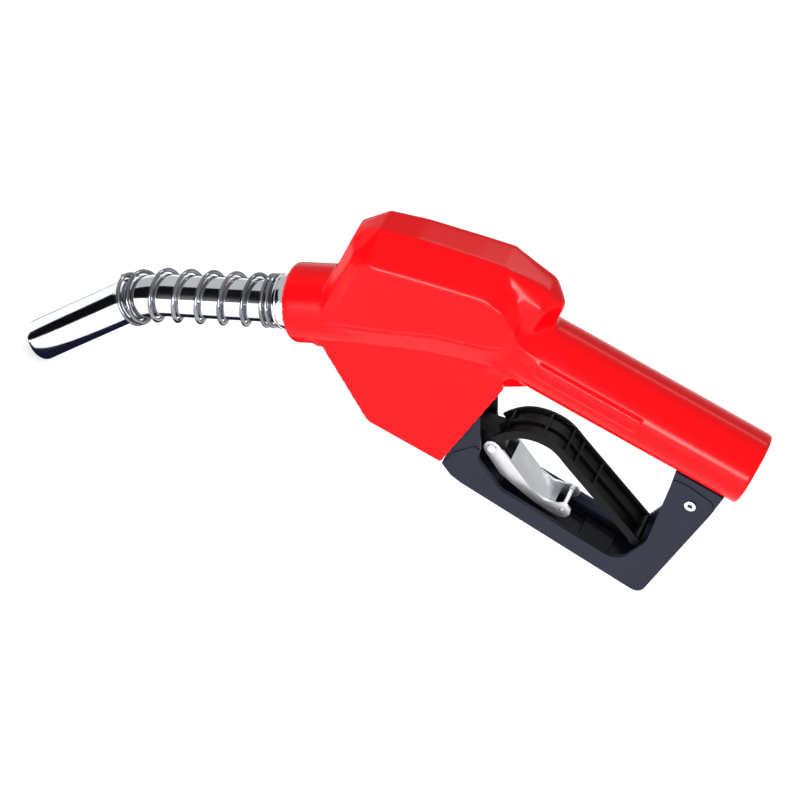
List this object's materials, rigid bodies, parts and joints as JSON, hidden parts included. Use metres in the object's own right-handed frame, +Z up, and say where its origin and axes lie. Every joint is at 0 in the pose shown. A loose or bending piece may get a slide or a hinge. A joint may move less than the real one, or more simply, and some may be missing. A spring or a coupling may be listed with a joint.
{
  "type": "fuel nozzle",
  "caption": "Automatic fuel nozzle with a soft cover, bent spout with a wire spring, squeeze lever, guard and hold-open clip; its valve, latch and check valve are inside.",
  "frame": {"origin": "centre of the hose inlet's face, on the handle's axis", "axes": "+X along the handle the way the hose leaves, +Z up, away from the lever guard, +Y to the side"},
  "size_m": [0.338, 0.043, 0.2042],
  "materials": {
    "red_vinyl": "glossy dipped vinyl",
    "black_plastic": "fine satin",
    "slate_plastic": "fine satin",
    "grey_plastic": "satin",
    "cast_aluminium": "as cast",
    "bright_steel": "polished",
    "zinc_plate": "zinc plated",
    "spring_steel": "drawn wire",
    "brass": "turned",
    "black_rubber": "moulded",
    "white_acetal": "moulded",
    "screen_steel": "woven"
  },
  "bodies": {
    "nozzle": {"nozzle_cover": "red_vinyl", "valve_body": "cast_aluminium", "main_cap": "cast_aluminium", "cap_seal": "black_rubber", "stem_packing": "white_acetal", "packing_nut": "brass", "main_spring": "spring_steel", "latch_spring": "spring_steel", "vacuum_cap": "cast_aluminium", "cap_screw_1": "zinc_plate", "cap_screw_2": "zinc_plate", "cap_screw_3": "zinc_plate", "cap_screw_4": "zinc_plate", "vacuum_spring": "spring_steel", "check_seat": "brass", "check_spring": "spring_steel", "spout_adapter": "brass", "spout_seal": "black_rubber", "spout_tube": "bright_steel", "vent_tube": "zinc_plate", "spout_nut": "bright_steel", "anchor_spring": "spring_steel", "inlet_seal": "black_rubber", "inlet_screen": "screen_steel", "lever_guard": "slate_plastic", "guard_rivet": "zinc_plate", "guard_screw_left": "zinc_plate", "guard_screw_right": "zinc_plate", "hold_open_rack": "grey_plastic"},
    "latch_stem": {"latch_stem": "zinc_plate", "lever_pin": "zinc_plate"},
    "lever": {"lever": "black_plastic", "clip_rivet": "zinc_plate"},
    "hold_open_clip": {"hold_open_clip": "zinc_plate", "clip_roller": "zinc_plate", "clip_spring": "brass"},
    "main_stem": {"main_stem": "bright_steel", "main_poppet": "brass", "poppet_disc": "black_rubber"},
    "diaphragm": {"diaphragm": "black_rubber", "diaphragm_plate": "zinc_plate", "latch_pin": "bright_steel"},
    "latch_ball_1": {"latch_ball_1": "bright_steel"},
    "latch_ball_2": {"latch_ball_2": "bright_steel"},
    "latch_ball_3": {"latch_ball_3": "bright_steel"},
    "check_poppet": {"check_poppet": "white_acetal"}
  },
  "joints": [
    {"name": "latch_stem_slide", "type": "slide", "parent": "nozzle", "child": "latch_stem", "axis": [0, 0, -1], "range_m": [0, 0.005], "stiffness_N_per_m": 800, "springref_m": -0.01, "deforming": ["latch_spring"]},
    {"name": "lever_pivot", "type": "hinge", "parent": "latch_stem", "child": "lever", "pos_m": [-0.178, 0, -0.058], "axis": [0, -1, 0], "range_deg": [0, 11.75], "stiffness_Nm_per_rad": 2, "springref_deg": -17.19},
    {"name": "clip_pivot", "type": "hinge", "parent": "lever", "child": "hold_open_clip", "pos_m": [-0.1104, 0, -0.0636], "axis": [0, -1, 0], "range_deg": [0, 20], "stiffness_Nm_per_rad": 0.05, "springref_deg": -17.19},
    {"name": "main_stem_slide", "type": "slide", "parent": "nozzle", "child": "main_stem", "axis": [0, 0, 1], "range_m": [0, 0.00775], "deforming": ["main_spring"]},
    {"name": "diaphragm_slide", "type": "slide", "parent": "nozzle", "child": "diaphragm", "axis": [0, 0, 1], "range_m": [0, 0.0033], "stiffness_N_per_m": 300, "springref_m": -0.005, "deforming": ["vacuum_spring"]},
    {"name": "latch_ball_1_slide", "type": "slide", "parent": "latch_stem", "child": "latch_ball_1", "axis": [-1, 0, 0], "range_m": [0, 0.0009]},
    {"name": "latch_ball_2_slide", "type": "slide", "parent": "latch_stem", "child": "latch_ball_2", "axis": [0.5, -0.866, 0], "range_m": [0, 0.0009]},
    {"name": "latch_ball_3_slide", "type": "slide", "parent": "latch_stem", "child": "latch_ball_3", "axis": [0.5, 0.866, 0], "range_m": [0, 0.0009]},
    {"name": "check_poppet_slide", "type": "slide", "parent": "nozzle", "child": "check_poppet", "axis": [-0.829, 0, -0.5592], "range_m": [0, 0.005], "stiffness_N_per_m": 200, "springref_m": -0.006, "deforming": ["check_spring"]}
  ],
  "couplings": [
    {"joint": "main_stem_slide", "follows": "lever_pivot", "m_per_rad": 0.0376},
    {"joint": "latch_ball_1_slide", "follows": "diaphragm_slide", "ratio": 0.27},
    {"joint": "latch_ball_2_slide", "follows": "diaphragm_slide", "ratio": 0.27},
    {"joint": "latch_ball_3_slide", "follows": "diaphragm_slide", "ratio": 0.27}
  ]
}
